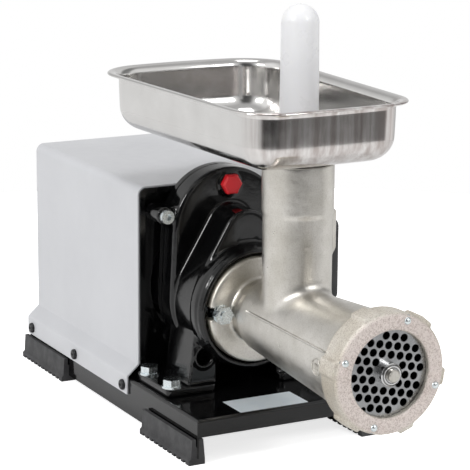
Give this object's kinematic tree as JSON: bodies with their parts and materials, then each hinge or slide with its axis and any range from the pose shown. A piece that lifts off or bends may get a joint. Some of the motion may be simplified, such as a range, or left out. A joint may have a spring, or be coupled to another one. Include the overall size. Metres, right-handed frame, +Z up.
{
  "type": "electric meat grinder",
  "caption": "Electric meat grinder with a cast worm head, ring nut and cutting plate, a steel feed tray with a pestle, a geared black gearbox and a motor under a painted cover.",
  "frame": {"origin": "bottom centre of the whole outline, on the surface that the feet stand on", "axes": "+Z up; the cutting plate and outlet face -Y; the switch box is on the +X side"},
  "size_m": [0.203, 0.494, 0.347],
  "materials": {
    "black_paint": "gloss",
    "rubber": "matte",
    "grey_paint": "satin",
    "black_casting": "gloss",
    "black_screw": "satin",
    "zinc": "zinc plated",
    "red_plastic": "satin",
    "tinned_iron": "tinned",
    "plate_steel": "ground",
    "polished_steel": "polished",
    "stainless": "mirror polished",
    "white_plastic": "smooth",
    "gear_steel": "machined",
    "bronze": "machined",
    "lamination": "laminated",
    "copper": "enamelled",
    "black_plastic": "moulded",
    "rocker_green": "moulded",
    "aluminium": "cast",
    "capacitor_grey": "moulded",
    "label_silver": "foil"
  },
  "bodies": {
    "machine": {"base_pan": "black_paint", "foot_front_left": "rubber", "foot_front_right": "rubber", "foot_rear_left": "rubber", "foot_rear_right": "rubber", "cover_shell": "grey_paint", "cover_screws": "black_screw", "front_panel": "black_paint", "rear_panel": "black_paint", "cable_gland": "black_plastic", "gearbox_housing": "black_casting", "gearbox_rear_plate": "black_casting", "bearing_plate": "aluminium", "output_front_bush": "bronze", "output_seal": "rubber", "output_rear_bush": "bronze", "intermediate_bushes": "bronze", "head_casting": "tinned_iron", "clamp_studs": "zinc", "clamp_nuts": "zinc", "cutting_plate": "plate_steel", "plate_key": "gear_steel", "plate_bush": "polished_steel", "motor_front_bell": "black_casting", "motor_rear_bell": "black_casting", "motor_tie_rods": "zinc", "stator_core": "lamination", "stator_windings": "copper", "motor_bearings": "gear_steel", "run_capacitor": "capacitor_grey", "capacitor_clip": "zinc", "switch_box": "black_plastic", "switch_lid": "black_plastic", "switch_body": "black_plastic", "housing_screws": "zinc", "leg_screws": "black_screw", "oil_plug": "red_plastic", "foot_bolts": "zinc", "foot_washers": "zinc", "foot_nuts": "zinc", "blank_label": "label_silver"},
    "output_drive": {"output_shaft": "gear_steel", "output_gear": "gear_steel", "auger": "tinned_iron", "knife": "gear_steel"},
    "intermediate_set": {"intermediate_shaft": "gear_steel", "intermediate_gear": "gear_steel", "intermediate_pinion": "gear_steel"},
    "motor_rotating": {"motor_rotor": "gear_steel", "motor_pinion": "gear_steel", "motor_fan": "black_plastic"},
    "ring": {"ring_nut": "tinned_iron"},
    "feed_tray": {"tray": "stainless"},
    "pestle_rod": {"pestle": "white_plastic"},
    "rocker": {"switch_rocker": "rocker_green"}
  },
  "joints": [
    {"name": "motor_spin", "type": "hinge", "parent": "machine", "child": "motor_rotating", "pos_m": [-0.0185, 0.06, 0.10865], "axis": [0, 1, 0], "continuous": true},
    {"name": "intermediate_spin", "type": "hinge", "parent": "machine", "child": "intermediate_set", "pos_m": [-0.0185, 0, 0.1574], "axis": [0, 1, 0], "continuous": true},
    {"name": "output_spin", "type": "hinge", "parent": "machine", "child": "output_drive", "pos_m": [-0.0185, -0.03, 0.1014], "axis": [0, 1, 0], "continuous": true},
    {"name": "ring_nut_turn", "type": "hinge", "parent": "machine", "child": "ring", "pos_m": [-0.0185, -0.23, 0.1014], "axis": [0, -1, 0], "range_deg": [0, 360]},
    {"name": "tray_lift", "type": "slide", "parent": "machine", "child": "feed_tray", "axis": [0, 0, 1], "range_m": [0, 0.06]},
    {"name": "pestle_slide", "type": "slide", "parent": "machine", "child": "pestle_rod", "axis": [0, 0, 1], "range_m": [0, 0.16]},
    {"name": "switch_rock", "type": "hinge", "parent": "machine", "child": "rocker", "pos_m": [0.0945, 0.066, 0.111], "axis": [0, 1, 0], "range_deg": [-10, 10]}
  ],
  "couplings": [
    {"joint": "intermediate_spin", "follows": "motor_spin", "ratio": -0.25},
    {"joint": "output_spin", "follows": "motor_spin", "ratio": 0.083333}
  ]
}
